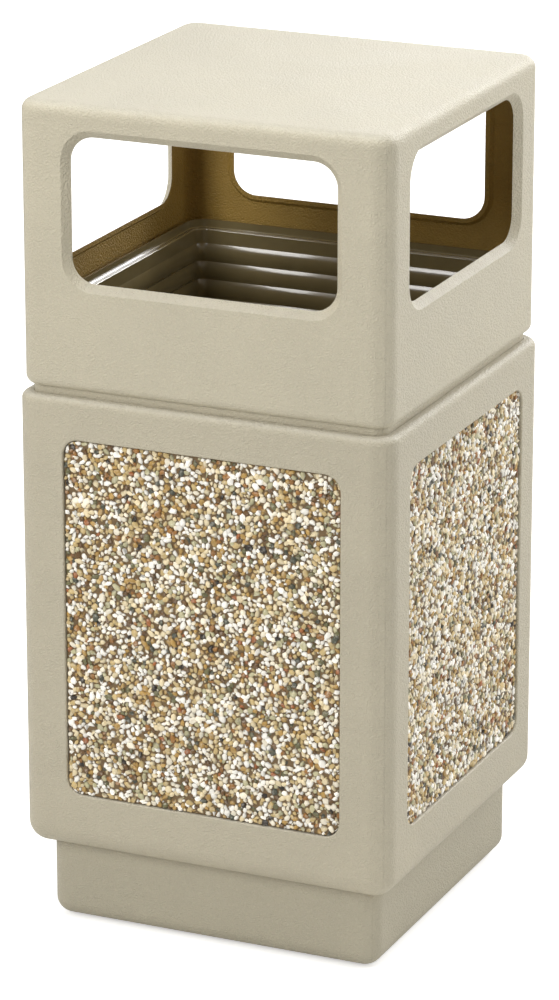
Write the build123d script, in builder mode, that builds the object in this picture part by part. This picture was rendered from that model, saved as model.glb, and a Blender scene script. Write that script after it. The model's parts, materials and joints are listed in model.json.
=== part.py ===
from build123d import *
import os

# Square side-opening litter bin: a moulded hood with a window in each side stands on a
# moulded body that carries four stone-faced panels, the body is bolted to a narrower
# plinth, and a ribbed liner stands inside. Millimetres, +Z up, origin on the ground at
# the centre of the plan. The front faces -Y.

# ---- body ----
body_width = 464.0
body_height = 551.0
body_wall = 6.0
body_corner = 26.0
body_top_round = 9.0
body_bottom_round = 25.0
collar_depth = 21.0        # how far the hood's neck drops into the body
ledge_height = 15.0        # height of the ring that the neck stands on
floor_hole_width = 260.0   # hand hole to the plinth's anchor holes
kerb_wall = 8.0
kerb_height = 8.0

# ---- panels in the body's sides ----
panel_margin = 60.0        # body's side face left standing each side of a panel
panel_lift = 70.0          # bottom of the pocket above the body's underside
panel_drop = 48.0          # top of the pocket below the body's top edge
panel_corner = 20.0
board_thickness = 5.0
stone_thickness = 7.0
stone_setback = 2.0        # stone face behind the body's face
stone_edge_chamfer = 1.5
panel_clearance = 0.75
pocket_lip_round = 2.0

# ---- hood ----
hood_setback = 4.5         # hood's side behind the body's side
hood_height = 332.5        # from its bottom edge to the edge of the crown
crown_rise = 5.0
crown_flat = 90.0
hood_wall = 5.0
hood_corner = 24.0
hood_top_round = 14.0
hood_bottom_round = 11.0
window_margin = 56.5
window_lift = 117.5        # bottom of the window above the hood's bottom edge
window_drop = 28.0         # top of the window below the edge of the crown
window_corner = 38.0
lip_depth = 9.0            # the window's edge turns in at 45 degrees by this much
lip_wall = 5.5

# ---- neck between hood and body ----
neck_setback = 9.0         # neck's side behind the hood's side
neck_reveal = 8.5          # height of neck that shows
neck_wall = 4.0
neck_clearance = 0.7
seat_clearance = 0.4

# ---- liner ----
liner_thickness = 2.2
liner_rim_clearance = 2.0  # rim inside the neck, so that the hood lifts off past it
liner_rim_corner = 22.0
liner_rim_band = 10.0
liner_shoulder = 6.5       # rim stands out this far from the wall
liner_taper = 9.0          # wall at the floor comes in this much on each side
liner_stand = 101.0        # rim above the body's top edge
liner_first_band = 18.0    # plain band under the shoulder
rib_pitch = 22.5
rib_bulge = 2.6
rib_count = 6              # ribs stiffen the mouth; the wall below is plain
liner_floor = 3.0

# ---- plinth ----
plinth_setback = 24.0      # plinth's side behind the body's side
plinth_height = 97.0
plinth_wall = 6.0
plinth_corner = 22.0
plinth_bottom_round = 20.0
flange_width = 58.0
anchor_spacing = 240.0
anchor_hole_d = 13.0

# ---- fasteners and feet ----
panel_screw_d = 5.0
panel_screw_clearance = 0.1
panel_screw_in_x = 42.0    # screw in from the panel's side edge
panel_screw_in_z = 42.0    # screw in from the panel's top and bottom edges
screw_head_d = 9.5
screw_head_h = 3.0
panel_washer_d = 15.0
panel_washer_h = 1.2
bolt_d = 8.0
bolt_clearance = 0.5
bolt_inset = 33.0          # bolt in from the plinth's side
bolt_head_af = 13.0
bolt_head_h = 4.4
nut_h = 6.5
washer_d = 16.0
washer_h = 1.6
bolt_tail = 3.0
foot_d = 36.0
foot_height = 6.0
foot_recess = 3.0
foot_inset = 43.0          # foot in from the plinth's side
foot_boss_d = 48.0
foot_boss_h = 7.0
foot_screw_d = 5.0
foot_screw_head_d = 10.0
foot_screw_head_h = 2.4
foot_screw_sink = 0.8      # head above the foot's underside

# ---- heights that follow ----
plinth_base = foot_height - foot_recess
plinth_top = plinth_base + plinth_height
body_base = plinth_top
body_top = body_base + body_height
ledge_top = body_top - collar_depth
floor_top = body_base + body_wall
kerb_top = floor_top + kerb_height
hood_base = body_top + neck_reveal
hood_edge = hood_base + hood_height
pocket_base = body_base + panel_lift
panel_height = body_height - panel_lift - panel_drop
panel_mid = pocket_base + panel_height / 2
window_height = hood_height - window_lift - window_drop
window_mid = hood_base + window_lift + window_height / 2

# ---- half widths that follow ----
body_half = body_width / 2
pocket_width = body_width - 2 * panel_margin
pocket_depth = board_thickness + stone_thickness + stone_setback
pocket_floor = body_half - pocket_depth
hood_half = body_half - hood_setback
window_width = 2 * hood_half - 2 * window_margin
neck_half = hood_half - neck_setback
neck_corner = hood_corner - neck_setback
neck_inner = neck_half - neck_wall
plinth_half = body_half - plinth_setback
bolt_at = plinth_half - bolt_inset
foot_at = plinth_half - foot_inset
ledge_inner = neck_inner - 0.7
cavity_half = body_half - body_wall
flange_inner = plinth_half - flange_width

# the four sides, each with its local X along the side, Y up and Z outwards
sides = {
    "front": Plane(origin=(0, 0, 0), x_dir=(1, 0, 0), z_dir=(0, -1, 0)),
    "right": Plane(origin=(0, 0, 0), x_dir=(0, 1, 0), z_dir=(1, 0, 0)),
    "back": Plane(origin=(0, 0, 0), x_dir=(-1, 0, 0), z_dir=(0, 1, 0)),
    "left": Plane(origin=(0, 0, 0), x_dir=(0, -1, 0), z_dir=(-1, 0, 0)),
}

# panel screws: four to a panel, driven outwards through the pocket's wall into the board
screw_x = pocket_width / 2 - panel_screw_in_x
screw_z = panel_height / 2 - panel_screw_in_z
screw_spots = [(x, panel_mid + z) for x in (-screw_x, screw_x) for z in (-screw_z, screw_z)]
pocket_back = pocket_floor - body_wall
bolt_spots = [(x, y) for x in (-bolt_at, bolt_at) for y in (-bolt_at, bolt_at)]
foot_spots = {
    "front_left": (-foot_at, -foot_at),
    "front_right": (foot_at, -foot_at),
    "back_left": (-foot_at, foot_at),
    "back_right": (foot_at, foot_at),
}
anchor_spots = [(x * anchor_spacing / 2, y * anchor_spacing / 2) for x in (-1, 1) for y in (-1, 1)]

os.makedirs("parts", exist_ok=True)


def save(piece, name):
    piece.part.label = name
    export_step(piece.part, f"parts/{name}.step")


# ================= plinth =================
# core that hollows the plinth, with its bottom edge rounded to keep the wall even
with BuildPart() as plinth_core:
    with BuildSketch(Plane.XY.offset(plinth_base + plinth_wall)):
        RectangleRounded(2 * (plinth_half - plinth_wall), 2 * (plinth_half - plinth_wall),
                         plinth_corner - plinth_wall)
    extrude(amount=plinth_height - 2 * plinth_wall)
    fillet(plinth_core.faces().sort_by(Axis.Z)[0].edges(), plinth_bottom_round - plinth_wall)

with BuildPart() as plinth_shell:
    with BuildSketch(Plane.XY.offset(plinth_base)):
        RectangleRounded(2 * plinth_half, 2 * plinth_half, plinth_corner)
    extrude(amount=plinth_height)
    fillet(plinth_shell.faces().sort_by(Axis.Z)[0].edges(), plinth_bottom_round)
    add(plinth_core.part, mode=Mode.SUBTRACT)
    # mouth in the top flange
    with BuildSketch(Plane.XY.offset(plinth_top)):
        RectangleRounded(2 * flange_inner, 2 * flange_inner, plinth_corner)
    extrude(amount=-plinth_wall, mode=Mode.SUBTRACT)
    # bosses that take the foot screws
    with BuildSketch(Plane.XY.offset(plinth_base + plinth_wall)):
        with Locations(*foot_spots.values()):
            Circle(foot_boss_d / 2)
    extrude(amount=foot_boss_h)
    # recesses for the feet, then the screws' holes
    with BuildSketch(Plane.XY.offset(plinth_base)):
        with Locations(*foot_spots.values()):
            Circle(foot_d / 2)
    extrude(amount=foot_recess, mode=Mode.SUBTRACT)
    with BuildSketch(Plane.XY.offset(plinth_base)):
        with Locations(*foot_spots.values()):
            Circle(foot_screw_d / 2 + panel_screw_clearance)
        with Locations(*anchor_spots):
            Circle(anchor_hole_d / 2)
    extrude(amount=plinth_wall + foot_boss_h, mode=Mode.SUBTRACT)
    # bolt holes in the top flange
    with BuildSketch(Plane.XY.offset(plinth_top)):
        with Locations(*bolt_spots):
            Circle(bolt_d / 2 + bolt_clearance)
    extrude(amount=-plinth_wall, mode=Mode.SUBTRACT)
save(plinth_shell, "plinth_shell")

# ================= body =================
with BuildPart() as body_core:
    with BuildSketch(Plane.XY.offset(floor_top)):
        RectangleRounded(2 * cavity_half, 2 * cavity_half, body_corner - body_wall)
    extrude(amount=ledge_top - ledge_height - floor_top)
    fillet(body_core.faces().sort_by(Axis.Z)[0].edges(), body_bottom_round - body_wall)

with BuildPart() as body_shell:
    with BuildSketch(Plane.XY.offset(body_base)):
        RectangleRounded(body_width, body_width, body_corner)
    extrude(amount=body_height)
    fillet(body_shell.faces().sort_by(Axis.Z)[-1].edges(), body_top_round)
    fillet(body_shell.faces().sort_by(Axis.Z)[0].edges(), body_bottom_round)
    add(body_core.part, mode=Mode.SUBTRACT)
    # collar that guides the hood's neck, and the narrower ring that it stands on
    with BuildSketch(Plane.XY.offset(body_top)):
        RectangleRounded(2 * (neck_half + neck_clearance), 2 * (neck_half + neck_clearance),
                         neck_corner + neck_clearance)
    extrude(amount=-collar_depth, mode=Mode.SUBTRACT)
    with BuildSketch(Plane.XY.offset(ledge_top)):
        RectangleRounded(2 * ledge_inner, 2 * ledge_inner, neck_corner - neck_wall)
    extrude(amount=-ledge_height, mode=Mode.SUBTRACT)
    # kerb that the liner stands on, around the hand hole in the floor
    with BuildSketch(Plane.XY.offset(floor_top)):
        RectangleRounded(floor_hole_width + 2 * kerb_wall, floor_hole_width + 2 * kerb_wall,
                         panel_corner + kerb_wall)
    extrude(amount=kerb_height)
    with BuildSketch(Plane.XY.offset(body_base)):
        RectangleRounded(floor_hole_width, floor_hole_width, panel_corner)
        with Locations(*bolt_spots):
            Circle(bolt_d / 2 + bolt_clearance)
    extrude(amount=body_wall + kerb_height, mode=Mode.SUBTRACT)
    # trays that stand into the cavity behind each panel
    for side in sides.values():
        with BuildSketch(side.offset(pocket_back)):
            with Locations((0, panel_mid)):
                RectangleRounded(pocket_width + 2 * body_wall, panel_height + 2 * body_wall,
                                 panel_corner + body_wall)
        extrude(amount=pocket_depth + body_wall / 2)
    # pockets, open outwards
    for side in sides.values():
        with BuildSketch(side.offset(pocket_floor)):
            with Locations((0, panel_mid)):
                RectangleRounded(pocket_width, panel_height, panel_corner)
        extrude(amount=pocket_depth, mode=Mode.SUBTRACT)
    for side in sides.values():
        mouth = body_shell.edges().filter_by(
            lambda e, s=side: abs(s.to_local_coords(e).center().Z - body_half) < 0.01
            and abs(s.to_local_coords(e).center().X) < pocket_width / 2 + 0.01
            and abs(s.to_local_coords(e).center().Y - panel_mid) < panel_height / 2 + 0.01)
        fillet(mouth, pocket_lip_round)
    # screw holes in the pocket walls
    for side in sides.values():
        with BuildSketch(side.offset(pocket_back)):
            with Locations(*screw_spots):
                Circle(panel_screw_d / 2 + panel_screw_clearance)
        extrude(amount=body_wall, mode=Mode.SUBTRACT)
save(body_shell, "body_shell")

# ================= panels =================
board_width = pocket_width - 2 * panel_clearance
board_height = panel_height - 2 * panel_clearance
for side_name, side in sides.items():
    with BuildPart() as board:
        with BuildSketch(side.offset(pocket_floor)):
            with Locations((0, panel_mid)):
                RectangleRounded(board_width, board_height, panel_corner - panel_clearance)
        extrude(amount=board_thickness)
        with BuildSketch(side.offset(pocket_floor)):
            with Locations(*screw_spots):
                Circle(panel_screw_d / 2 + panel_screw_clearance)
        extrude(amount=board_thickness, mode=Mode.SUBTRACT)
    save(board, f"panel_board_{side_name}")

    with BuildPart() as stone:
        with BuildSketch(side.offset(pocket_floor + board_thickness)):
            with Locations((0, panel_mid)):
                RectangleRounded(board_width, board_height, panel_corner - panel_clearance)
        extrude(amount=stone_thickness)
        outer_face = stone.faces().sort_by(Axis(origin=(0, 0, 0), direction=side.z_dir))[-1]
        chamfer(outer_face.edges(), stone_edge_chamfer)
    save(stone, f"aggregate_{side_name}")

with BuildPart() as panel_washers:
    for side in sides.values():
        with BuildSketch(side.offset(pocket_back)):
            with Locations(*screw_spots):
                Circle(panel_washer_d / 2)
                Circle(panel_screw_d / 2 + panel_screw_clearance, mode=Mode.SUBTRACT)
        extrude(amount=-panel_washer_h)
save(panel_washers, "panel_washers")

with BuildPart() as panel_screws:
    for side in sides.values():
        with BuildSketch(side.offset(pocket_back - panel_washer_h)):
            with Locations(*screw_spots):
                Circle(panel_screw_d / 2)
        extrude(amount=panel_washer_h + body_wall + board_thickness - 0.5)
        with BuildSketch(side.offset(pocket_back - panel_washer_h)):
            with Locations(*screw_spots):
                Circle(screw_head_d / 2)
        extrude(amount=-screw_head_h)
    crowns = panel_screws.edges().filter_by(GeomType.CIRCLE).filter_by(
        lambda e: abs(e.radius - screw_head_d / 2) < 0.01
        and max(abs(e.center().X), abs(e.center().Y)) < pocket_back - panel_washer_h - 0.1)
    fillet(crowns, 1.2)
save(panel_screws, "panel_screws")

# ================= hood =================
# core that hollows the hood
with BuildPart() as hood_core:
    with BuildSketch(Plane.XY.offset(hood_base + hood_wall)):
        RectangleRounded(2 * (hood_half - hood_wall), 2 * (hood_half - hood_wall),
                         hood_corner - hood_wall)
    extrude(amount=hood_height - 2 * hood_wall)
    fillet(hood_core.faces().sort_by(Axis.Z)[-1].edges(), hood_top_round - hood_wall)
    fillet(hood_core.faces().sort_by(Axis.Z)[0].edges(), hood_bottom_round - hood_wall)

with BuildPart() as hood_shell:
    with BuildSketch(Plane.XY.offset(hood_base)):
        RectangleRounded(2 * hood_half, 2 * hood_half, hood_corner)
    extrude(amount=hood_height)
    fillet(hood_shell.faces().sort_by(Axis.Z)[-1].edges(), hood_top_round)
    fillet(hood_shell.faces().sort_by(Axis.Z)[0].edges(), hood_bottom_round)
    add(hood_core.part, mode=Mode.SUBTRACT)
    # shallow hipped crown that sheds water
    with BuildSketch(Plane.XY.offset(hood_edge)):
        RectangleRounded(2 * (hood_half - hood_top_round), 2 * (hood_half - hood_top_round),
                         hood_corner - hood_top_round)
    with BuildSketch(Plane.XY.offset(hood_edge + crown_rise)):
        RectangleRounded(crown_flat, crown_flat, hood_corner - hood_top_round)
    loft()
    # neck: shows as a recessed band, then drops into the body's collar
    with BuildSketch(Plane.XY.offset(ledge_top + seat_clearance)):
        RectangleRounded(2 * neck_half, 2 * neck_half, neck_corner)
    extrude(amount=hood_base + hood_wall - ledge_top - seat_clearance)
    with BuildSketch(Plane.XY.offset(ledge_top + seat_clearance)):
        RectangleRounded(2 * neck_inner, 2 * neck_inner, neck_corner - neck_wall)
    extrude(amount=hood_base + hood_wall - ledge_top - seat_clearance, mode=Mode.SUBTRACT)
    # thickened edge that turns in around each window
    for side in sides.values():
        for depth in (hood_wall / 2, lip_depth):
            with BuildSketch(side.offset(hood_half - depth)):
                with Locations((0, window_mid)):
                    RectangleRounded(window_width + 2 * (lip_wall - depth),
                                     window_height + 2 * (lip_wall - depth),
                                     window_corner + lip_wall - depth)
        loft()
    # window openings, flared outwards
    for side in sides.values():
        for depth in (-1.0, lip_depth + 1.0):
            with BuildSketch(side.offset(hood_half - depth)):
                with Locations((0, window_mid)):
                    RectangleRounded(window_width - 2 * depth, window_height - 2 * depth,
                                     window_corner - depth)
        loft(mode=Mode.SUBTRACT)
save(hood_shell, "hood_shell")

# ================= liner =================
liner_base = kerb_top + seat_clearance
rim_top = body_top + liner_stand
rim_half = neck_inner - liner_rim_clearance
shoulder_z = rim_top - liner_rim_band
corner_axis = rim_half - liner_rim_corner
wall_top_half = rim_half - liner_shoulder
taper_per_mm = liner_taper / (shoulder_z - liner_base)
first_crease = shoulder_z - liner_first_band


def wall_half(z):
    # outside of the liner's wall at height z
    return wall_top_half - (shoulder_z - z) * taper_per_mm


creases = [first_crease - i * rib_pitch for i in range(rib_count + 1)]
t = liner_thickness

# section of one side of the liner, in the XZ plane
with BuildSketch(Plane.XZ) as liner_section:
    with BuildLine():
        # outside, from the floor up
        Line((wall_half(liner_base), liner_base), (wall_half(creases[-1]), creases[-1]))
        for low, high in zip(reversed(creases[1:]), reversed(creases[:-1])):
            mid = (low + high) / 2
            ThreePointArc((wall_half(low), low), (wall_half(mid) - rib_bulge, mid), (wall_half(high), high))
        Line((wall_half(creases[0]), creases[0]), (wall_half(shoulder_z - t), shoulder_z - t))
        Line((wall_half(shoulder_z - t), shoulder_z - t), (rim_half, shoulder_z - t))
        Line((rim_half, shoulder_z - t), (rim_half, rim_top))
        Line((rim_half, rim_top), (rim_half - t, rim_top))
        # inside, back down
        Line((rim_half - t, rim_top), (rim_half - t, shoulder_z + 1))
        Line((rim_half - t, shoulder_z + 1), (rim_half - t - 1, shoulder_z))
        Line((rim_half - t - 1, shoulder_z), (wall_half(shoulder_z) - t + 2, shoulder_z))
        JernArc((wall_half(shoulder_z) - t + 2, shoulder_z), (-1, 0), 2, 90)
        Line((wall_half(shoulder_z) - t, shoulder_z - 2), (wall_half(creases[0]) - t, creases[0]))
        for high, low in zip(creases[:-1], creases[1:]):
            mid = (low + high) / 2
            ThreePointArc((wall_half(high) - t, high), (wall_half(mid) - t - rib_bulge, mid),
                          (wall_half(low) - t, low))
        Line((wall_half(creases[-1]) - t, creases[-1]), (wall_half(liner_base) - t, liner_base))
        Line((wall_half(liner_base) - t, liner_base), (wall_half(liner_base), liner_base))
    make_face()

with BuildPart() as liner_shell:
    for turn in range(4):
        straight = liner_section.sketch.moved(Location((0, corner_axis, 0)))
        with Locations(Location((0, 0, 0), (0, 0, 90 * turn))):
            add(extrude(straight, amount=2 * corner_axis, dir=(0, -1, 0), mode=Mode.PRIVATE))
            add(revolve(liner_section.sketch.moved(Location((0, corner_axis, 0))),
                        Axis(origin=(corner_axis, corner_axis, 0), direction=(0, 0, 1)),
                        revolution_arc=90, mode=Mode.PRIVATE))
    with BuildSketch(Plane.XY.offset(liner_base)):
        RectangleRounded(2 * wall_half(liner_base) - t, 2 * wall_half(liner_base) - t,
                         wall_half(liner_base) - corner_axis - t / 2)
    extrude(amount=liner_floor)
save(liner_shell, "liner_shell")

# ================= bolts between body and plinth =================
with BuildPart() as plinth_washers:
    with BuildSketch(Plane.XY.offset(floor_top)):
        with Locations(*bolt_spots):
            Circle(washer_d / 2)
            Circle(bolt_d / 2 + bolt_clearance, mode=Mode.SUBTRACT)
    extrude(amount=washer_h)
    with BuildSketch(Plane.XY.offset(plinth_top - plinth_wall)):
        with Locations(*bolt_spots):
            Circle(washer_d / 2)
            Circle(bolt_d / 2 + bolt_clearance, mode=Mode.SUBTRACT)
    extrude(amount=-washer_h)
save(plinth_washers, "plinth_washers")

bolt_seat = floor_top + washer_h
nut_top = plinth_top - plinth_wall - washer_h
with BuildPart() as plinth_bolts:
    with BuildSketch(Plane.XY.offset(bolt_seat)):
        with Locations(*bolt_spots):
            RegularPolygon(bolt_head_af / 2, 6, major_radius=False)
    extrude(amount=bolt_head_h)
    with BuildSketch(Plane.XY.offset(bolt_seat)):
        with Locations(*bolt_spots):
            Circle(bolt_d / 2)
    extrude(amount=nut_top - nut_h - bolt_tail - bolt_seat)
save(plinth_bolts, "plinth_bolts")

with BuildPart() as plinth_nuts:
    with BuildSketch(Plane.XY.offset(nut_top)):
        with Locations(*bolt_spots):
            RegularPolygon(bolt_head_af / 2, 6, major_radius=False)
            Circle(bolt_d / 2 + panel_screw_clearance, mode=Mode.SUBTRACT)
    extrude(amount=-nut_h)
save(plinth_nuts, "plinth_nuts")

# ================= feet =================
for foot_name, spot in foot_spots.items():
    with BuildPart() as foot:
        with BuildSketch():
            with Locations(spot):
                Circle(foot_d / 2 - panel_screw_clearance)
        extrude(amount=foot_height)
        fillet(foot.edges().group_by(Axis.Z)[0], 1.0)
        with BuildSketch():
            with Locations(spot):
                Circle(foot_screw_d / 2 + panel_screw_clearance)
        extrude(amount=foot_height, mode=Mode.SUBTRACT)
        with BuildSketch():
            with Locations(spot):
                Circle(foot_screw_head_d / 2 + 0.5)
        extrude(amount=foot_screw_sink + foot_screw_head_h, mode=Mode.SUBTRACT)
    save(foot, f"foot_{foot_name}")

with BuildPart() as foot_screws:
    with BuildSketch(Plane.XY.offset(foot_screw_sink)):
        with Locations(*foot_spots.values()):
            Circle(foot_screw_head_d / 2)
    extrude(amount=foot_screw_head_h)
    fillet(foot_screws.edges().group_by(Axis.Z)[0], 1.0)
    with BuildSketch(Plane.XY.offset(foot_screw_sink)):
        with Locations(*foot_spots.values()):
            Circle(foot_screw_d / 2)
    extrude(amount=foot_height - foot_screw_sink + foot_boss_h)
save(foot_screws, "foot_screws")
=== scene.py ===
import json
import math

import bpy
import numpy as np
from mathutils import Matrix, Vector, kdtree


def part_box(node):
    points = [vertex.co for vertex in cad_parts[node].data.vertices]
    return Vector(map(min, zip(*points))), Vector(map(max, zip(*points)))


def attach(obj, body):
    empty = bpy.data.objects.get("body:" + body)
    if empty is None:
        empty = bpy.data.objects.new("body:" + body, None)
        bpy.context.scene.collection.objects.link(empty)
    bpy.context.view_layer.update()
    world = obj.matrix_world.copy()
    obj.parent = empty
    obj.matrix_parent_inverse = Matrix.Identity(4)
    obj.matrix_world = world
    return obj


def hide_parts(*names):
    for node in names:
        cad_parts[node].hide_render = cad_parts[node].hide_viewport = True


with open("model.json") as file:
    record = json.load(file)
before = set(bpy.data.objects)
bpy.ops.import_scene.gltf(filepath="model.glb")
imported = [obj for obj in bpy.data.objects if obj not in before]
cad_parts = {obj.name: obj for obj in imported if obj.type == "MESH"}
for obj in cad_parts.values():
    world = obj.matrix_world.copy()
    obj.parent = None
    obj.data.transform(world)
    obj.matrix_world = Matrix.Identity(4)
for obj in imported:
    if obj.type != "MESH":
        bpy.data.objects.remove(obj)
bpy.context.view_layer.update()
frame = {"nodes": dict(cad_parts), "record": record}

# Look of a square side-opening litter bin: moulded hood, body and plinth, four panels of
# bonded river pebbles, a ribbed liner, and the fixings behind them. Metres, +Z up, the
# front faces -Y. Sizes are read from the loaded frame, so the pieces follow it.

bl_info = {
    "name": "Stone Panel Litter Bin",
    "version": (1, 0, 0),
    "blender": (4, 5, 0),
    "location": "3D View > Sidebar > Litter Bin",
    "description": "Finishes a square litter bin with pebble panels around its frame",
    "category": "Object",
}

SIDES = ("front", "right", "back", "left")
SIDE_TURN = {"front": 0.0, "right": 90.0, "back": 180.0, "left": 270.0}
HOOD_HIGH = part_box("hood_shell")[1]
BODY_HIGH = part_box("body_shell")[1]
PLINTH_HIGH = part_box("plinth_shell")[1]
STONE_LOW, STONE_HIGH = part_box("aggregate_front")
SLOT_OF = {s["node"]: s["material_slot"] for s in frame["record"]["subparts"]}
MM = 0.001
CROWN_RISE = 5 * MM         # top of the hood's crown above the edge of its top
PANEL_RECESS = 16 * MM      # the body's recesses for the panels are less deep than this
PLINTH_RIM = 3 * MM         # no painted inside shade this close to the plinth's top
PANEL_CORNER = 19.25 * MM   # rounding of a slab's corners
BED_DEPTH = 2.4 * MM        # resin bed behind the face of the slab
STONE_PROUD = 0.6 * MM      # highest pebble in front of the face of the slab
STONE_INSET = 0.2 * MM      # pebbles stay this far inside the slab's outline
BOARD_GAP = 0.3 * MM        # and this far in front of the board


# ---------------------------------------------------------------- sizes and colours

def colour(name, description, default):
    return bpy.props.FloatVectorProperty(
        name=name, description=description, default=default, subtype="COLOR", size=3,
        min=0.0, max=1.0)


def length(name, description, default):
    return bpy.props.FloatProperty(
        name=name, description=description, default=default, min=0.0, unit="LENGTH",
        precision=5)


def share(name, description, default):
    return bpy.props.FloatProperty(
        name=name, description=description, default=default, min=0.0, max=1.0,
        subtype="FACTOR")


class MouldedShellLook(bpy.types.PropertyGroup):
    # painted shade: the body and plinth are given darker colours than the hood, so the bin
    # darkens towards the bottom
    hood_colour: colour("Hood", "Outside of the hood", (0.562, 0.512, 0.386))
    body_colour: colour("Body", "Outside of the body", (0.518, 0.469, 0.352))
    plinth_colour: colour("Plinth", "Outside of the plinth", (0.468, 0.426, 0.318))
    # painted shade: the inner faces of the shells take this darker brown in place of the shade
    # that falls inside them
    inside_shade_colour: colour("Inside", "Inner faces of the hood", (0.42, 0.27, 0.060))
    grain_size: length("Grain", "Width of one bead of the moulded grain", 0.0021)
    grain_height: length("Grain height", "Height of the moulded grain", 0.0010)
    seam_width: length("Seam width", "Width of the mould's parting line at a corner", 0.0009)
    # painted sheen: a pale colour laid on the faces that look up, in place of the sheen they
    # catch
    sheen: share("Sheen", "How much pale dust lies on faces that look up", 0.25)


class StoneLook(bpy.types.PropertyGroup):
    spacing: length("Spacing", "Mean distance between pebbles", 0.0065)
    smallest: length("Smallest", "Half width of the smallest pebble", 0.0022)
    largest: length("Largest", "Half width of the largest pebble", 0.0051)
    typical: length("Typical", "Half width of most pebbles", 0.0034)
    seed: bpy.props.IntProperty(
        name="Seed", description="Picks one scatter of pebbles", default=11)
    bed_colour: colour("Resin", "Resin bed between the pebbles", (0.17, 0.105, 0.042))
    board_colour: colour("Board", "Backing board", (0.30, 0.25, 0.18))


class InsideLook(bpy.types.PropertyGroup):
    liner_colour: colour("Liner", "Liner's sheet", (0.215, 0.172, 0.082))
    steel_colour: colour("Steel", "Zinc plated fasteners", (0.58, 0.58, 0.57))
    rubber_colour: colour("Rubber", "Feet", (0.025, 0.025, 0.026))


class StageLook(bpy.types.PropertyGroup):
    floor_colour: colour("Floor", "Plain pale floor", (0.86, 0.86, 0.855))
    floor_glow: bpy.props.FloatProperty(
        name="Floor glow", description="Lifts the floor to white in view", default=0.55, min=0.0)
    front_light: bpy.props.FloatProperty(
        name="Front", description="Brightness of the front softbox", default=8.9, min=0.0)
    right_light: bpy.props.FloatProperty(
        name="Right", description="Brightness of the right softbox", default=3.6, min=0.0)
    top_light: bpy.props.FloatProperty(
        name="Top", description="Brightness of the top softbox", default=2.3, min=0.0)
    back_light: bpy.props.FloatProperty(
        name="Back", description="Brightness of the backdrop", default=2.1, min=0.0)
    rim_light: bpy.props.FloatProperty(
        name="Rim", description="Brightness of the lamp that edges the right side", default=11.0,
        min=0.0)
    sky_strength: bpy.props.FloatProperty(
        name="Sky", description="Even light", default=0.35, min=0.0)
    lens: bpy.props.FloatProperty(name="Lens", description="Focal length in mm", default=165.6)
    turn: bpy.props.FloatProperty(
        name="Turn", description="Camera's angle round the bin", default=0.4192,
        subtype="ANGLE")
    drop: bpy.props.FloatProperty(
        name="Drop", description="How far the camera looks down", default=0.3186,
        subtype="ANGLE")
    place: bpy.props.FloatVectorProperty(
        name="Camera", description="Where the camera stands", size=3, unit="LENGTH",
        default=(2.081, -4.681, 2.173))


LOOKS = {
    "bin_shell_look": MouldedShellLook,
    "bin_stone_look": StoneLook,
    "bin_inside_look": InsideLook,
    "bin_stage_look": StageLook,
}


# ---------------------------------------------------------------- node helpers

class Nodes:
    """Short calls to build one node tree."""

    def __init__(self, tree):
        self.tree = tree
        self.count = 0

    def add(self, kind, **settings):
        node = self.tree.nodes.new(kind)
        self.count += 1
        node.location = (180 * (self.count // 6), -190 * (self.count % 6))
        for key, value in settings.items():
            setattr(node, key, value)
        return node

    def put(self, node, socket, value):
        """Links value if it is a socket, or sets it as the socket's own value."""
        target = node.inputs[socket]
        if isinstance(value, bpy.types.NodeSocket):
            self.tree.links.new(value, target)
        elif value is not None:
            if target.type == "RGBA" and len(value) == 3:
                value = (*value, 1.0)
            target.default_value = value

    def math(self, operation, a, b=None, clamp=False):
        node = self.add("ShaderNodeMath", operation=operation, use_clamp=clamp)
        for i, value in enumerate((a, b)):
            if value is not None:
                self.put(node, i, value)
        return node.outputs[0]

    def vector(self, operation, a, b=None, scale=None):
        node = self.add("ShaderNodeVectorMath", operation=operation)
        self.put(node, 0, a)
        if b is not None:
            self.put(node, 1, b)
        if scale is not None:
            self.put(node, "Scale", scale)
        return node.outputs["Value" if operation in ("DOT_PRODUCT", "LENGTH") else "Vector"]

    def noise(self, vector, scale, detail=2.0, roughness=0.5):
        node = self.add("ShaderNodeTexNoise")
        for socket, value in (("Vector", vector), ("Scale", scale), ("Detail", detail),
                              ("Roughness", roughness)):
            self.put(node, socket, value)
        return node.outputs["Fac"]

    def cells(self, vector, scale):
        node = self.add("ShaderNodeTexVoronoi", feature="SMOOTH_F1")
        self.put(node, "Vector", vector)
        self.put(node, "Scale", scale)
        return node.outputs["Distance"]

    def span(self, value, low, high, to_low=0.0, to_high=1.0):
        node = self.add("ShaderNodeMapRange", interpolation_type="SMOOTHSTEP")
        for socket, number in enumerate((value, low, high, to_low, to_high)):
            self.put(node, socket, number)
        return node.outputs[0]

    def mix(self, fac, a, b, blend="MIX"):
        node = self.add("ShaderNodeMix", data_type="RGBA", blend_type=blend)
        self.put(node, 0, fac)
        self.put(node, 6, a)
        self.put(node, 7, b)
        return node.outputs[2]

    def split(self, vector):
        node = self.add("ShaderNodeSeparateXYZ")
        self.put(node, 0, vector)
        return node.outputs

    def ramp(self, fac, stops):
        """Steps of one colour each, from the given places on."""
        node = self.add("ShaderNodeValToRGB")
        self.put(node, 0, fac)
        ramp = node.color_ramp
        ramp.interpolation = "CONSTANT"
        while len(ramp.elements) < len(stops):
            ramp.elements.new(0.5)
        for element, (place, value) in zip(ramp.elements, stops):
            element.position = place
            element.color = (*value, 1.0)
        return node.outputs[0]

    def group(self, tree, **values):
        node = self.add("ShaderNodeGroup", node_tree=tree)
        for socket, value in values.items():
            self.put(node, socket.replace("_", " "), value)
        return node.outputs


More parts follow.
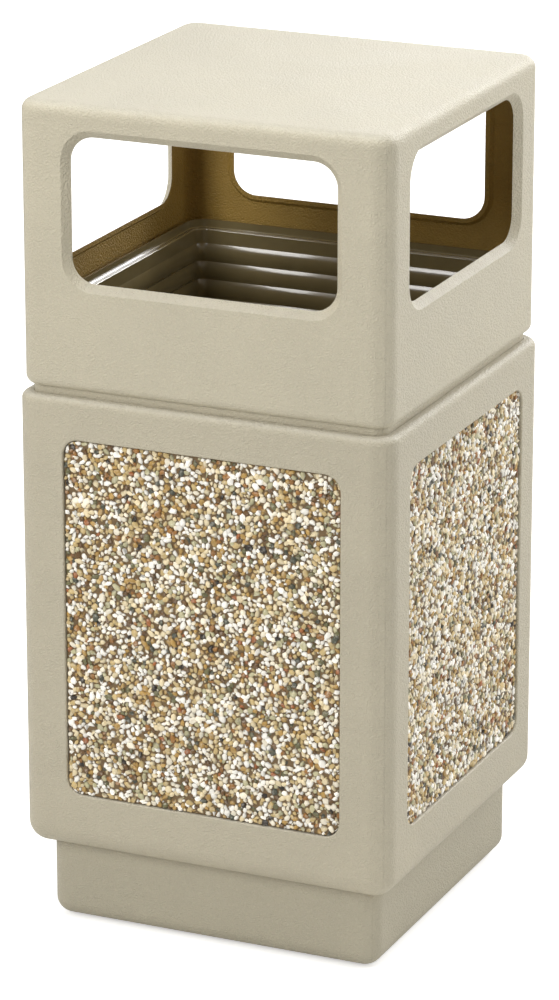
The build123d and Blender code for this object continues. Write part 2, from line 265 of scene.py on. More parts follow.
def new_group(name, inputs, outputs):
    tree = bpy.data.node_groups.new(name, "ShaderNodeTree")
    for socket, kind, default in inputs:
        made = tree.interface.new_socket(name=socket, in_out="INPUT", socket_type=kind)
        if default is not None:
            made.default_value = default
    for socket, kind in outputs:
        tree.interface.new_socket(name=socket, in_out="OUTPUT", socket_type=kind)
    n = Nodes(tree)
    start = n.add("NodeGroupInput").outputs
    end = n.add("NodeGroupOutput")
    return tree, n, start, end


def new_material(name):
    """A material with a Principled shader, its Nodes and its object coordinates."""
    material = bpy.data.materials.new(name)
    material.use_nodes = True
    material.node_tree.nodes.clear()
    n = Nodes(material.node_tree)
    shader = n.add("ShaderNodeBsdfPrincipled")
    out = n.add("ShaderNodeOutputMaterial")
    n.put(out, "Surface", shader.outputs[0])
    return material, n, shader, n.add("ShaderNodeTexCoord").outputs["Object"]


def bump(n, shader, height, distance, strength=1.0):
    node = n.add("ShaderNodeBump")
    n.put(node, "Height", height)
    n.put(node, "Distance", distance)
    n.put(node, "Strength", strength)
    n.put(shader, "Normal", node.outputs[0])


def shade(value, factor):
    """A colour made lighter or darker."""
    return tuple(min(1.0, part * factor) for part in value)


def once(name, build):
    """A node group or material of that name, built the first time it is asked for."""
    found = bpy.data.node_groups.get(name) or bpy.data.materials.get(name)
    return found or build()


# ---------------------------------------------------------------- shared effects

def moulded_grain():
    """Beaded grain of a textured mould: a height, and a mask of the grain's tops."""
    def build():
        tree, n, i, end = new_group(
            "Moulded Grain",
            [("Vector", "NodeSocketVector", None), ("Size", "NodeSocketFloat", 0.0013)],
            [("Height", "NodeSocketFloat"), ("Tops", "NodeSocketFloat")])
        per_metre = n.math("DIVIDE", 1.0, i["Size"])
        wobble = n.noise(i["Vector"], n.math("MULTIPLY", per_metre, 0.45), 2.0)
        moved = n.vector("ADD", i["Vector"], n.vector(
            "SCALE", wobble, scale=n.math("MULTIPLY", i["Size"], 1.4)))
        bead = n.cells(moved, per_metre)
        round_top = n.span(bead, 0.0, 0.75, 1.0, 0.0)
        fine = n.noise(i["Vector"], n.math("MULTIPLY", per_metre, 3.1), 3.0, 0.6)
        height = n.math("ADD", n.math("MULTIPLY", round_top, 0.75),
                        n.math("MULTIPLY", fine, 0.35))
        n.put(end, "Height", height)
        n.put(end, "Tops", n.span(round_top, 0.45, 0.95))
        return tree
    return once("Moulded Grain", build)


def mottle():
    """Slow cloudy change of tone, and fine flecks, both centred on 0.5."""
    def build():
        tree, n, i, end = new_group(
            "Mottle",
            [("Vector", "NodeSocketVector", None), ("Size", "NodeSocketFloat", 0.08),
             ("Seed", "NodeSocketFloat", 0.0)],
            [("Cloud", "NodeSocketFloat"), ("Fleck", "NodeSocketFloat")])
        per_metre = n.math("DIVIDE", 1.0, i["Size"])
        moved = n.vector("ADD", i["Vector"], n.vector("SCALE", (1.7, 2.3, 3.1), scale=i["Seed"]))
        n.put(end, "Cloud", n.noise(moved, per_metre, 4.0, 0.55))
        n.put(end, "Fleck", n.noise(moved, n.math("MULTIPLY", per_metre, 60.0), 2.0, 0.7))
        return tree
    return once("Mottle", build)


def rounded_edges():
    """Mask of faces that turn between the flat sides: rounded edges, corners and lips."""
    def build():
        tree, n, i, end = new_group(
            "Rounded Edges",
            [("Vector", "NodeSocketVector", None), ("Breakup", "NodeSocketFloat", 0.5)],
            [("Mask", "NodeSocketFloat"), ("Up", "NodeSocketFloat")])
        normal = n.add("ShaderNodeNewGeometry").outputs["Normal"]
        axes = n.split(n.vector("ABSOLUTE", normal))
        flattest = n.math("MAXIMUM", n.math("MAXIMUM", axes[0], axes[1]), axes[2])
        edge = n.span(flattest, 0.72, 0.97, 1.0, 0.0)
        # patches that break up the mask; on the shells and the liner they break up a painted
        # highlight, on the feet they are wear
        patchy_noise = n.span(n.noise(i["Vector"], 55.0, 5.0, 0.65), 0.36, 0.62)
        keep = n.math("SUBTRACT", 1.0, n.math("MULTIPLY", i["Breakup"],
                                              n.math("SUBTRACT", 1.0, patchy_noise)))
        n.put(end, "Mask", n.math("MULTIPLY", edge, keep))
        n.put(end, "Up", n.span(n.split(normal)[2], 0.35, 0.95))
        return tree
    return once("Rounded Edges", build)


def inner_faces():
    """Mask of the faces of a square shell that look inwards, under its top, where shade is
    painted.
    """
    def build():
        tree, n, i, end = new_group(
            "Inner Faces",
            [("Vector", "NodeSocketVector", None), ("Half Width", "NodeSocketFloat", 0.2275),
             ("Top", "NodeSocketFloat", 0.99)],
            [("Mask", "NodeSocketFloat")])
        place = n.split(i["Vector"])
        normal = n.split(n.add("ShaderNodeNewGeometry").outputs["Normal"])
        across = [n.math("ABSOLUTE", place[a]) for a in (0, 1)]
        outward = [n.math("MULTIPLY", normal[a], n.math("SIGN", place[a])) for a in (0, 1)]
        x_side = n.math("GREATER_THAN", across[0], across[1])
        y_side = n.math("SUBTRACT", 1.0, x_side)
        facing = n.math("ADD", n.math("MULTIPLY", outward[0], x_side),
                        n.math("MULTIPLY", outward[1], y_side))
        looks_in = n.span(facing, 0.05, 0.35, 1.0, 0.0)
        widest = n.math("MAXIMUM", across[0], across[1])
        edge_gap = n.math("SUBTRACT", i["Half Width"], widest)
        within = n.span(edge_gap, 0.0012, 0.0032)
        under = n.span(n.math("SUBTRACT", i["Top"], place[2]), 0.0012, 0.003)
        n.put(end, "Mask", n.math("MULTIPLY", n.math("MULTIPLY", looks_in, within), under))
        return tree
    return once("Inner Faces", build)


# ---------------------------------------------------------------- materials

def moulded_material(name, base, half_width, top, seed):
    look = bpy.context.scene.bin_shell_look
    material, n, shader, at = new_material(name)
    grain = n.group(moulded_grain(), Vector=at, Size=look.grain_size)
    tone = n.group(mottle(), Vector=at, Size=0.09, Seed=seed)
    edge = n.group(rounded_edges(), Vector=at, Breakup=0.6)
    # mask of the inner faces, where shade is painted
    inside = n.group(inner_faces(), Vector=at, Half_Width=half_width, Top=top)["Mask"]

    paint = n.mix(n.span(tone["Cloud"], 0.3, 0.7), shade(base, 0.975), shade(base, 1.02))
    # painted highlight: the tops of the grain's beads are lightened as if catching the light
    paint = n.mix(n.math("MULTIPLY", grain["Tops"], 0.5), paint, shade(base, 1.16))
    paint = n.mix(n.math("MULTIPLY", n.span(tone["Fleck"], 0.56, 0.70), 0.45), paint,
                  shade(base, 0.75))
    # painted highlight: rounded edges, corners and lips are lightened, broken up in patches
    paint = n.mix(n.math("MULTIPLY", edge["Mask"], 0.35), paint, shade(base, 1.22))
    # painted sheen: faces that look up are mixed towards a pale whitish colour
    paint = n.mix(n.math("MULTIPLY", edge["Up"], look.sheen), paint, (0.70, 0.69, 0.64))
    # painted shade: the inner faces are coloured a darker brown than the outside
    inner = n.mix(n.span(tone["Cloud"], 0.3, 0.7), shade(look.inside_shade_colour, 0.9),
                  shade(look.inside_shade_colour, 1.05))
    # painted highlight on the tops of the grain inside as well
    inner = n.mix(n.math("MULTIPLY", grain["Tops"], 0.2), inner, shade(look.inside_shade_colour, 1.25))
    n.put(shader, "Base Color", n.mix(inside, paint, inner))

    rough = n.math("ADD", 0.46, n.math("MULTIPLY", n.math("SUBTRACT", tone["Cloud"], 0.5), 0.25))
    rough = n.math("SUBTRACT", rough, n.math("MULTIPLY", edge["Mask"], 0.10))
    rough = n.math("ADD", rough, n.math("MULTIPLY", inside, 0.05), clamp=True)
    n.put(shader, "Roughness", rough)
    shader.inputs["IOR"].default_value = 1.48

    # parting line of the mould, down the middle of each rounded corner
    place = n.split(at)
    off = n.math("ABSOLUTE", n.math("SUBTRACT", n.math("ABSOLUTE", place[0]),
                                    n.math("ABSOLUTE", place[1])))
    seam = n.math("MULTIPLY", n.span(off, look.seam_width * 0.3, look.seam_width, 1.0, 0.0),
                  n.math("SUBTRACT", 1.0, n.math("MAXIMUM", inside, edge["Up"])))
    low_wave = n.noise(at, 14.0, 2.0)
    height = n.math("ADD", grain["Height"],
                    n.math("ADD", n.math("MULTIPLY", seam, 0.5), low_wave))
    bump(n, shader, height, look.grain_height)
    return material


PEBBLES = (
    # share of the pebbles, colour
    (0.27, (1.0, 0.965, 0.88)),
    (0.17, (0.92, 0.84, 0.67)),
    (0.13, (0.80, 0.67, 0.42)),
    (0.125, (0.58, 0.43, 0.19)),
    (0.095, (0.46, 0.28, 0.075)),
    (0.06, (0.50, 0.46, 0.27)),
    (0.045, (0.32, 0.145, 0.03)),
    (0.035, (0.14, 0.07, 0.018)),
    (0.03, (0.15, 0.14, 0.06)),
    (0.02, (0.07, 0.075, 0.05)),
    (0.005, (0.36, 0.12, 0.03)),
    (0.015, (0.02, 0.012, 0.006)),
)


def pebble_material():
    material, n, shader, at = new_material("Bonded Pebbles")
    pick = n.add("ShaderNodeAttribute", attribute_name="pebble_pick").outputs["Fac"]
    shade_pick = n.add("ShaderNodeAttribute", attribute_name="pebble_shade").outputs["Fac"]
    rise = n.add("ShaderNodeAttribute", attribute_name="pebble_rise").outputs["Fac"]
    stops, total = [], 0.0
    for part, value in PEBBLES:
        stops.append((total, value))
        total += part
    stone = n.ramp(pick, stops)
    apart = n.vector("SCALE", (0.31, 0.17, 0.23), scale=n.math("MULTIPLY", pick, 9.0))
    own = n.vector("ADD", at, apart)
    tone = n.group(mottle(), Vector=own, Size=0.004, Seed=0.0)
    stone = n.mix(n.span(tone["Cloud"], 0.45, 0.8, 0.0, 0.35), stone, (0.92, 0.88, 0.79))
    stone = n.mix(n.span(tone["Cloud"], 0.42, 0.2, 0.0, 0.30), stone, (0.34, 0.23, 0.10))
    own_tone = n.math("ADD", 0.94, n.math("MULTIPLY", shade_pick, 0.30))
    # painted shade: each pebble is darkened towards the resin bed, as in the crevices between
    # pebbles, on top of its own random tone
    tone_and_crevice_shade = n.math("MULTIPLY", own_tone, n.span(rise, 0.0, 0.55, 0.38, 1.0))
    value = n.add("ShaderNodeCombineColor")
    for channel in range(3):
        n.put(value, channel, tone_and_crevice_shade)
    n.put(shader, "Base Color", n.mix(1.0, stone, value.outputs[0], "MULTIPLY"))
    n.put(shader, "Roughness", n.span(tone["Cloud"], 0.2, 0.8, 0.30, 0.52))
    shader.inputs["Coat Weight"].default_value = 0.15
    shader.inputs["Coat Roughness"].default_value = 0.2
    bump(n, shader, tone["Cloud"], 0.0004, 0.5)
    return material


def resin_material():
    look = bpy.context.scene.bin_stone_look
    material, n, shader, at = new_material("Resin Bed")
    tone = n.group(mottle(), Vector=at, Size=0.006, Seed=4.0)
    n.put(shader, "Base Color", n.mix(tone["Cloud"], shade(look.bed_colour, 0.6),
                                      shade(look.bed_colour, 1.5)))
    n.put(shader, "Roughness", n.span(tone["Fleck"], 0.3, 0.7, 0.35, 0.6))
    bump(n, shader, tone["Cloud"], 0.0008, 0.8)
    return material


def board_material():
    look = bpy.context.scene.bin_stone_look
    material, n, shader, at = new_material("Backing Board")
    tone = n.group(mottle(), Vector=at, Size=0.03, Seed=2.0)
    n.put(shader, "Base Color", n.mix(tone["Cloud"], shade(look.board_colour, 0.8),
                                      shade(look.board_colour, 1.2)))
    n.put(shader, "Roughness", n.span(tone["Fleck"], 0.3, 0.7, 0.6, 0.8))
    bump(n, shader, tone["Fleck"], 0.0003, 0.6)
    return material


def liner_material():
    look = bpy.context.scene.bin_inside_look
    material, n, shader, at = new_material("Liner Sheet")
    tone = n.group(mottle(), Vector=at, Size=0.05, Seed=7.0)
    # horizontal streaks of smudged dirt on the liner
    patchy_noise = n.noise(n.vector("MULTIPLY", at, (1.0, 1.0, 9.0)), 60.0, 4.0, 0.65)
    edge = n.group(rounded_edges(), Vector=at, Breakup=0.3)
    base = n.mix(n.span(tone["Cloud"], 0.3, 0.7), shade(look.liner_colour, 0.93),
                 shade(look.liner_colour, 1.06))
    base = n.mix(n.span(patchy_noise, 0.66, 0.85, 0.0, 0.12), base, (0.34, 0.30, 0.21))
    # painted highlight: the liner's rim and ribs are lightened along their rounded edges
    base = n.mix(n.math("MULTIPLY", edge["Mask"], 0.30), base, shade(look.liner_colour, 1.7))
    n.put(shader, "Base Color", base)
    n.put(shader, "Roughness", n.span(patchy_noise, 0.3, 0.8, 0.20, 0.26))
    shader.inputs["IOR"].default_value = 1.6
    shader.inputs["Coat Weight"].default_value = 0.7
    shader.inputs["Coat Roughness"].default_value = 0.08
    bump(n, shader, n.math("ADD", tone["Cloud"], n.math("MULTIPLY", patchy_noise, 0.02)), 0.0003, 0.2)
    return material


def zinc_material():
    look = bpy.context.scene.bin_inside_look
    material, n, shader, at = new_material("Zinc Plate")
    tone = n.group(mottle(), Vector=at, Size=0.006, Seed=3.0)
    base = n.mix(n.span(tone["Cloud"], 0.3, 0.7), shade(look.steel_colour, 0.75),
                 tuple(look.steel_colour))
    n.put(shader, "Base Color", base)
    shader.inputs["Metallic"].default_value = 1.0
    n.put(shader, "Roughness", n.span(tone["Fleck"], 0.3, 0.7, 0.28, 0.48))
    bump(n, shader, tone["Fleck"], 0.0001, 0.5)
    return material


def rubber_material():
    look = bpy.context.scene.bin_inside_look
    material, n, shader, at = new_material("Foot Rubber")
    tone = n.group(mottle(), Vector=at, Size=0.01, Seed=5.0)
    edge = n.group(rounded_edges(), Vector=at, Breakup=0.5)
    base = n.mix(tone["Cloud"], tuple(look.rubber_colour), shade(look.rubber_colour, 2.2))
    worn = n.math("MULTIPLY", edge["Mask"], 0.5)
    n.put(shader, "Base Color", n.mix(worn, base, (0.09, 0.088, 0.082)))
    n.put(shader, "Roughness", n.span(tone["Fleck"], 0.3, 0.7, 0.62, 0.85))
    bump(n, shader, tone["Fleck"], 0.0002, 0.6)
    return material


def finish_node(node, material):
    """Gives a frame node its finish, in every slot it has."""
    part = frame["nodes"][node]
    if not part.material_slots:
        part.data.materials.append(material)
    for place in part.material_slots:
        place.material = material


# ---------------------------------------------------------------- pebble panels

ROW_HEIGHT = 0.866          # of a triangular grid, for a spacing of 1
PUSH_ROUNDS = 12
GAP_PITCH = 1.5 * MM        # grid on which gaps are looked for
GAP_LEAST = 0.35 * MM       # half width of the smallest gap that is filled
FILLER_LAP = 0.75 * MM      # a filler reaches this far under its neighbours
CELL = 4 * MM               # fillers are looked up in squares of this width
PEBBLE_TOPS = (-0.9, 0.5)   # mm from the slab's face to a pebble's top, least and most
FILLER_TOPS = (-1.9, -0.9)


def spread_pebbles(rng, half_wide, half_high, look):
    """Centres and half widths of pebbles that fill a panel and push each other apart."""
    step = look.spacing
    rows = int(2 * half_high / (step * ROW_HEIGHT)) + 1
    columns = int(2 * half_wide / step) + 1
    row, column = np.meshgrid(np.arange(rows), np.arange(columns), indexing="ij")
    x = -half_wide + (column + 0.5 * (row % 2)) * 2 * half_wide / columns
    y = -half_high + (row + 0.5) * 2 * half_high / rows
    centres = np.stack([x.ravel(), y.ravel()], 1)
    centres += rng.uniform(-0.45, 0.45, centres.shape) * step
    radii = np.clip(look.typical * np.exp(rng.normal(0.0, 0.26, len(centres))),
                    look.smallest, look.largest)
    for _ in range(PUSH_ROUNDS):
        push = np.zeros_like(centres)
        tree = point_tree(centres)
        for index, (px, py) in enumerate(centres):
            reach = radii[index] + look.largest
            for _, other, gap in tree.find_range((px, py, 0.0), reach):
                lap = 0.88 * (radii[index] + radii[other]) - gap
                if other != index and lap > 0 and gap > 1e-7:
                    push[index] += (centres[index] - centres[other]) / gap * lap * 0.42
        centres += np.clip(push, -step * 0.3, step * 0.3)
        inset = radii * 0.72
        centres[:, 0] = np.clip(centres[:, 0], -half_wide + inset, half_wide - inset)
        centres[:, 1] = np.clip(centres[:, 1], -half_high + inset, half_high - inset)
    return centres, radii


def point_tree(centres):
    tree = kdtree.KDTree(len(centres))
    for index, (px, py) in enumerate(centres):
        tree.insert((px, py, 0.0), index)
    tree.balance()
    return tree


def fill_gaps(rng, centres, radii, half_wide, half_high):
    """Small pebbles for the gaps that the main ones leave."""
    across = np.arange(-half_wide + GAP_PITCH, half_wide - GAP_PITCH, GAP_PITCH)
    along = np.arange(-half_high + GAP_PITCH, half_high - GAP_PITCH, GAP_PITCH)
    tree = point_tree(centres)
    spots = []
    for px in across:
        for py in along:
            qx = px + rng.uniform(-0.4, 0.4) * GAP_PITCH
            qy = py + rng.uniform(-0.4, 0.4) * GAP_PITCH
            near = tree.find_n((qx, qy, 0.0), 4)
            gap = min(distance - radii[index] for _, index, distance in near)
            if gap > GAP_LEAST:
                spots.append((gap, qx, qy))
    spots.sort(reverse=True)
    taken, cells = [], {}
    for gap, px, py in spots:
        radius = gap + FILLER_LAP
        cell = (int(px // CELL), int(py // CELL))
        near = [t for i in (-1, 0, 1) for j in (-1, 0, 1)
                for t in cells.get((cell[0] + i, cell[1] + j), ())]
        if all(math.hypot(px - tx, py - ty) > 0.85 * (radius + tr) for tx, ty, tr in near):
            cells.setdefault(cell, []).append((px, py, radius))
            taken.append((px, py, radius))
    taken = np.array(taken)
    return taken[:, :2], taken[:, 2]


def keep_in_corners(points, half_wide, half_high, corner):
    """Moves points that lie outside the panel's rounded outline back onto it."""
    points[:, 0] = np.clip(points[:, 0], -half_wide, half_wide)
    points[:, 1] = np.clip(points[:, 1], -half_high, half_high)
    centre = np.stack([np.sign(points[:, 0]) * (half_wide - corner),
                       np.sign(points[:, 1]) * (half_high - corner)], 1)
    away = points[:, :2] - centre
    beyond = ((np.abs(points[:, 0]) > half_wide - corner)
              & (np.abs(points[:, 1]) > half_high - corner))
    reach = np.linalg.norm(away, axis=1)
    out = beyond & (reach > corner)
    points[out, :2] = centre[out] + away[out] / reach[out, None] * corner


def pebble_shape():
    """The upper part of one pebble as rings of points on a unit dome, and its faces."""
    rings = ((6, 0.54, 0.85), (7, 0.88, 0.46), (7, 0.96, -0.25))
    points, first = [(0.0, 0.0, 1.0)], []
    for turn, (count, reach, rise) in enumerate(rings):
        first.append(len(points))
        for k in range(count):
            angle = 2 * math.pi * (k + 0.5 * (turn % 2)) / count
            points.append((reach * math.cos(angle), reach * math.sin(angle), rise))
    faces = [(0, 1 + k, 1 + (k + 1) % 6) for k in range(6)]
    faces += bridge(first[0], 6, first[1], 7, points)
    inner, outer = first[1], first[2]
    for k in range(7):
        k2 = (k + 1) % 7
        faces.append((inner + k, outer + k, inner + k2))
        faces.append((inner + k2, outer + k, outer + k2))
    return np.array(points), np.array(faces)


def filler_shape():
    """A small pebble in a gap, of which only the top shows."""
    points = [(0.0, 0.0, 1.0)]
    for count, reach, rise, turn in ((5, 0.72, 0.66, 0.0), (5, 1.0, -0.3, 0.5)):
        for k in range(count):
            angle = 2 * math.pi * (k + turn) / count
            points.append((reach * math.cos(angle), reach * math.sin(angle), rise))
    faces = [(0, 1 + k, 1 + (k + 1) % 5) for k in range(5)]
    for k in range(5):
        k2 = (k + 1) % 5
        faces.append((1 + k, 6 + k, 1 + k2))
        faces.append((1 + k2, 6 + k, 6 + k2))
    return np.array(points), np.array(faces)


def bridge(inner, inner_count, outer, outer_count, points):
    """Triangles between two rings of different counts, walking round both by angle."""
    def angle(index, ring, count):
        x, y, _ = points[ring + index % count]
        return math.atan2(y, x) % (2 * math.pi) + 2 * math.pi * (index // count)

    faces, i, o = [], 0, 0
    while i < inner_count or o < outer_count:
        next_inner = angle(i + 1, inner, inner_count) if i < inner_count else 1e9
        next_outer = angle(o + 1, outer, outer_count) if o < outer_count else 1e9
        if next_inner < next_outer:
            faces.append((inner + i % inner_count, outer + o % outer_count,
                          inner + (i + 1) % inner_count))
            i += 1
        else:
            faces.append((inner + i % inner_count, outer + o % outer_count,
                          outer + (o + 1) % outer_count))
            o += 1
    return faces


def rounded_slab(half_wide, half_high, corner, low, high):
    """Points and faces of a flat slab with rounded corners, its thickness along Z."""
    outline = []
    for turn, (sx, sy) in enumerate(((1, 1), (-1, 1), (-1, -1), (1, -1))):
        for k in range(7):
            angle = math.pi / 2 * (turn + k / 6)
            outline.append((sx * (half_wide - corner) + corner * math.cos(angle),
                            sy * (half_high - corner) + corner * math.sin(angle)))
    count = len(outline)
    points = [(x, y, low) for x, y in outline] + [(x, y, high) for x, y in outline]
    faces = [tuple(range(count, 2 * count)), tuple(reversed(range(count)))]
    faces += [(k, (k + 1) % count, count + (k + 1) % count, count + k) for k in range(count)]
    return np.array(points), faces


def place_pebbles(rng, shape, centres, radii, top, low, high, drop):
    """One shape set down at each centre, each time swollen, stretched, leant and turned."""
    count, each = len(centres), len(shape)
    long_way = np.sqrt(rng.uniform(1.0, 1.65, count))[:, None]
    spin = rng.uniform(0, 2 * math.pi, count)[:, None]
    thick = radii * rng.uniform(0.55, 0.9, count)
    points = shape[None] * (1 + rng.normal(0.0, 0.14, (count, each, 1)))
    points = points * np.stack([radii * 1.1, radii * 1.1, thick], 1)[:, None, :]
    x, y = points[:, :, 0] * long_way, points[:, :, 1] / long_way
    lean = rng.normal(0.0, 0.24, (count, 2))
    z = points[:, :, 2] + x * lean[:, :1] + y * lean[:, 1:]
    z += (rng.uniform(*drop, count) * MM + top - z.max(1))[:, None]
    return np.stack([x * np.cos(spin) - y * np.sin(spin) + centres[:, :1],
                     x * np.sin(spin) + y * np.cos(spin) + centres[:, 1:],
                     np.clip(z, low, high)], 2)


def stone_panel(side, look, materials):
    rng = np.random.default_rng(look.seed + SIDES.index(side))
    half_wide = (STONE_HIGH.x - STONE_LOW.x) / 2
    half_high = (STONE_HIGH.z - STONE_LOW.z) / 2
    middle = (STONE_HIGH.z + STONE_LOW.z) / 2
    board_face = -STONE_HIGH.y
    slab_face = -STONE_LOW.y
    bed = slab_face - BED_DEPTH
    reach = (half_wide - STONE_INSET, half_high - STONE_INSET)

    centres, radii = spread_pebbles(rng, *reach, look)
    small, small_radii = fill_gaps(rng, centres, radii, half_wide, half_high)
    low, high = board_face + BOARD_GAP, slab_face + STONE_PROUD
    slab_points, slab_faces = rounded_slab(
        half_wide, half_high, PANEL_CORNER, board_face, bed)
    blocks, faces = [slab_points], [list(face) for face in slab_faces]
    smooth = [False] * len(slab_faces)
    picks, shades = [np.zeros(len(slab_points))], [np.zeros(len(slab_points))]
    for (shape, shape_faces), at, size, drop in (
            (pebble_shape(), centres, radii, PEBBLE_TOPS),
            (filler_shape(), small, small_radii, FILLER_TOPS)):
        placed = place_pebbles(rng, shape, at, size, slab_face, low, high, drop)
        start, each = sum(len(block) for block in blocks), len(shape)
        ring = shape_faces[None] + (start + np.arange(len(at)) * each)[:, None, None]
        faces += ring.reshape(-1, 3).tolist()
        smooth += np.repeat(rng.random(len(at)) > 0.45, len(shape_faces)).tolist()
        blocks.append(placed.reshape(-1, 3))
        picks.append(np.repeat(rng.uniform(0, 0.9999, len(at)), each))
        shades.append(np.repeat(rng.uniform(0, 1, len(at)), each))
        keep_in_corners(blocks[-1], *reach, PANEL_CORNER)
    points = np.concatenate(blocks)
    rise = np.clip((points[:, 2] - bed) / (slab_face - bed), 0, 1)
    # panel's own X, Y and outward Z into the front side, then round to its own side
    turn = math.radians(SIDE_TURN[side])
    cos, sin = math.cos(turn), math.sin(turn)
    x, y, z = points[:, 0], -points[:, 2], points[:, 1] + middle
    world = np.stack([x * cos - y * sin, x * sin + y * cos, z], 1)

    mesh = bpy.data.meshes.new(f"stones_{side}")
    mesh.from_pydata(world.tolist(), [], faces)
    for material in materials:
        mesh.materials.append(material)
    is_stone = [int(index >= len(slab_faces)) for index in range(len(faces))]
    mesh.polygons.foreach_set("material_index", is_stone)
    mesh.polygons.foreach_set("use_smooth", smooth)
    for name, values in (("pebble_pick", np.concatenate(picks)),
                         ("pebble_shade", np.concatenate(shades)), ("pebble_rise", rise)):
        held = mesh.attributes.new(name, "FLOAT", "POINT")
        held.data.foreach_set("value", values.astype(np.float32))
    mesh.update()
    panel = bpy.data.objects.new(f"stones_{side}", mesh)
    bpy.context.scene.collection.objects.link(panel)
    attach(panel, "base")
    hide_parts(f"aggregate_{side}")


# ---------------------------------------------------------------- operators

class BIN_OT_moulded_shells(bpy.types.Operator):
    """Give the hood, body and plinth their grained, moulded finish"""
    bl_idname = "litter_bin.moulded_shells"
    bl_label = "Moulded Shells"

    def execute(self, context):
        look = context.scene.bin_shell_look
        finish_node("hood_shell", moulded_material(
            "Moulded Hood", tuple(look.hood_colour), HOOD_HIGH.x,
            HOOD_HIGH.z - CROWN_RISE, 1.0))
        finish_node("body_shell", moulded_material(
            "Moulded Body", tuple(look.body_colour), BODY_HIGH.x - PANEL_RECESS,
            BODY_HIGH.z, 2.0))
        finish_node("plinth_shell", moulded_material(
            "Moulded Plinth", tuple(look.plinth_colour), PLINTH_HIGH.x,
            PLINTH_HIGH.z - PLINTH_RIM, 3.0))
        return {"FINISHED"}


class BIN_OT_stone_panels(bpy.types.Operator):
    """Lay bonded pebbles on the four panels"""
    bl_idname = "litter_bin.stone_panels"
    bl_label = "Stone Panels"

    def execute(self, context):
        materials = (resin_material(), pebble_material())
        for side in SIDES:
            stone_panel(side, context.scene.bin_stone_look, materials)
        return {"FINISHED"}


class BIN_OT_panel_boards(bpy.types.Operator):
    """Finish the boards behind the pebbles"""
    bl_idname = "litter_bin.panel_boards"
    bl_label = "Panel Boards"

    def execute(self, context):
        material = board_material()
        for side in SIDES:
            finish_node(f"panel_board_{side}", material)
        return {"FINISHED"}


class BIN_OT_liner(bpy.types.Operator):
    """Finish the ribbed liner"""
    bl_idname = "litter_bin.liner"
    bl_label = "Liner"

    def execute(self, context):
        finish_node("liner_shell", liner_material())
        return {"FINISHED"}


class BIN_OT_fasteners(bpy.types.Operator):
    """Finish the screws, bolts, washers and nuts"""
    bl_idname = "litter_bin.fasteners"
    bl_label = "Fasteners"

    def execute(self, context):
        material = zinc_material()
        for node, slot in SLOT_OF.items():
            if slot == "fasteners":
                finish_node(node, material)
        return {"FINISHED"}


class BIN_OT_feet(bpy.types.Operator):
    """Finish the rubber feet"""
    bl_idname = "litter_bin.feet"
    bl_label = "Feet"

    def execute(self, context):
        material = rubber_material()
        for node, slot in SLOT_OF.items():
            if slot == "rubber_feet":
                finish_node(node, material)
        return {"FINISHED"}


FLOOR_REACH = 14.0
LAMP_AIM = (0.0, 0.0, 0.7)
WARM, WHITE = (1.0, 0.99, 0.97), (1.0, 1.0, 1.0)
LAMPS = (
    # name, where it stands, width and height, tint
    ("front", (-1.5, -2.9, 2.5), (1.5, 1.5), WARM),
    ("right", (3.0, 0.5, 2.4), (1.5, 1.5), WARM),
    ("top", (-0.2, -0.4, 3.0), (2.2, 2.2), WHITE),
    ("rim", (1.6, 4.0, 2.6), (1.3, 1.3), WHITE),
    ("back", (0.9, 4.2, 1.9), (6.0, 2.8), WHITE),
)


def softbox(name, place, size, brightness, tint):
    """A rectangular lamp of even brightness, out of the camera's sight."""
    data = bpy.data.lights.new(name, "AREA")
    data.shape = "RECTANGLE"
    data.size, data.size_y = size
    data.energy = brightness * math.pi * size[0] * size[1]
    data.color = tint
    lamp = bpy.data.objects.new(name, data)
    lamp.visible_camera = False
    bpy.context.scene.collection.objects.link(lamp)
    lamp.location = place
    lamp.rotation_euler = (Vector(LAMP_AIM) - Vector(place)).to_track_quat("-Z", "Y").to_euler()


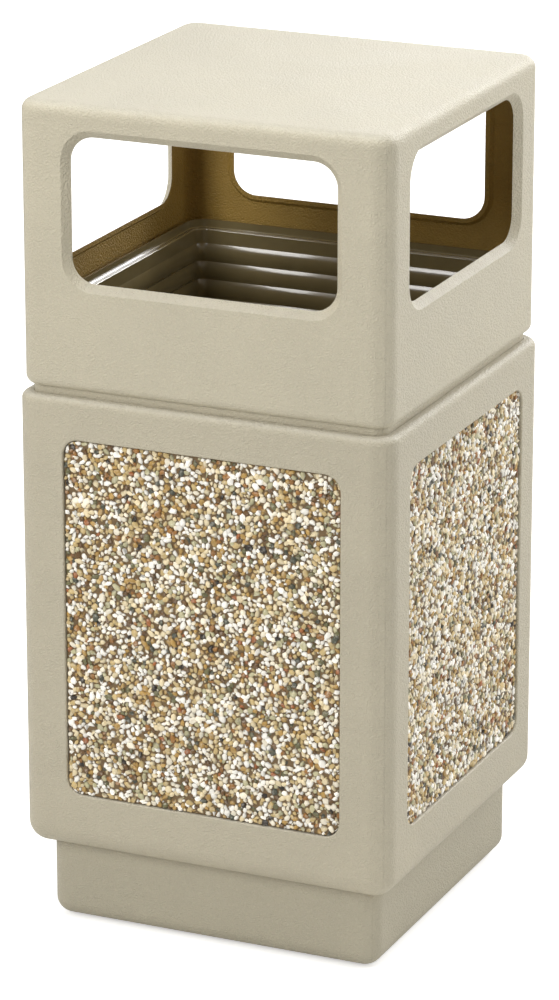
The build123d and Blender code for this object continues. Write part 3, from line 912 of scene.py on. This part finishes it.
class BIN_OT_stage(bpy.types.Operator):
    """Set the floor, the lamps and the camera"""
    bl_idname = "litter_bin.stage"
    bl_label = "Stage"

    def execute(self, context):
        look = context.scene.bin_stage_look
        scene = context.scene
        mesh = bpy.data.meshes.new("floor")
        mesh.from_pydata([(-FLOOR_REACH, -FLOOR_REACH, 0), (FLOOR_REACH, -FLOOR_REACH, 0),
                          (FLOOR_REACH, FLOOR_REACH, 0), (-FLOOR_REACH, FLOOR_REACH, 0)],
                         [], [(0, 1, 2, 3)])
        material, n, shader, _ = new_material("Pale Floor")
        n.put(shader, "Base Color", tuple(look.floor_colour))
        shader.inputs["Roughness"].default_value = 0.9
        shader.inputs["Specular IOR Level"].default_value = 0.0
        shader.inputs["Emission Color"].default_value = (1.0, 1.0, 1.0, 1.0)
        seen = n.add("ShaderNodeLightPath").outputs["Is Camera Ray"]
        n.put(shader, "Emission Strength", n.math("MULTIPLY", seen, look.floor_glow))
        mesh.materials.append(material)
        floor = bpy.data.objects.new("floor", mesh)
        scene.collection.objects.link(floor)

        world = bpy.data.worlds.new("studio")
        world.use_nodes = True
        back = world.node_tree.nodes["Background"]
        back.inputs["Color"].default_value = (1.0, 1.0, 1.0, 1.0)
        back.inputs["Strength"].default_value = look.sky_strength
        scene.world = world
        for name, place, size, tint in LAMPS:
            softbox(name, place, size, getattr(look, f"{name}_light"), tint)

        data = bpy.data.cameras.new("camera")
        data.lens = look.lens
        data.sensor_width = 36.0
        data.clip_end = 60.0
        camera = bpy.data.objects.new("camera", data)
        scene.collection.objects.link(camera)
        camera.location = look.place
        camera.rotation_euler = (math.pi / 2 - look.drop, 0.0, look.turn)
        scene.camera = camera
        scene.view_settings.view_transform = "Standard"
        return {"FINISHED"}


OPERATORS = (
    BIN_OT_moulded_shells,
    BIN_OT_stone_panels,
    BIN_OT_panel_boards,
    BIN_OT_liner,
    BIN_OT_fasteners,
    BIN_OT_feet,
    BIN_OT_stage,
)


class BIN_PT_panel(bpy.types.Panel):
    """Lists the bin's pieces and their sizes and colours"""
    bl_idname = "BIN_PT_panel"
    bl_label = "Litter Bin"
    bl_space_type = "VIEW_3D"
    bl_region_type = "UI"
    bl_category = "Litter Bin"

    def draw(self, context):
        for operator in OPERATORS:
            self.layout.operator(operator.bl_idname)
        for name, kind in LOOKS.items():
            box = self.layout.box()
            for field in kind.__annotations__:
                box.prop(getattr(context.scene, name), field)


CLASSES = (*LOOKS.values(), *OPERATORS, BIN_PT_panel)


def register():
    for item in CLASSES:
        bpy.utils.register_class(item)
    for name, kind in LOOKS.items():
        setattr(bpy.types.Scene, name, bpy.props.PointerProperty(type=kind))


def unregister():
    for name in LOOKS:
        delattr(bpy.types.Scene, name)
    for item in reversed(CLASSES):
        bpy.utils.unregister_class(item)


def main():
    register()
    for operator in OPERATORS:
        area, action = operator.bl_idname.split(".")
        getattr(getattr(bpy.ops, area), action)()


if __name__ == "__main__":
    main()
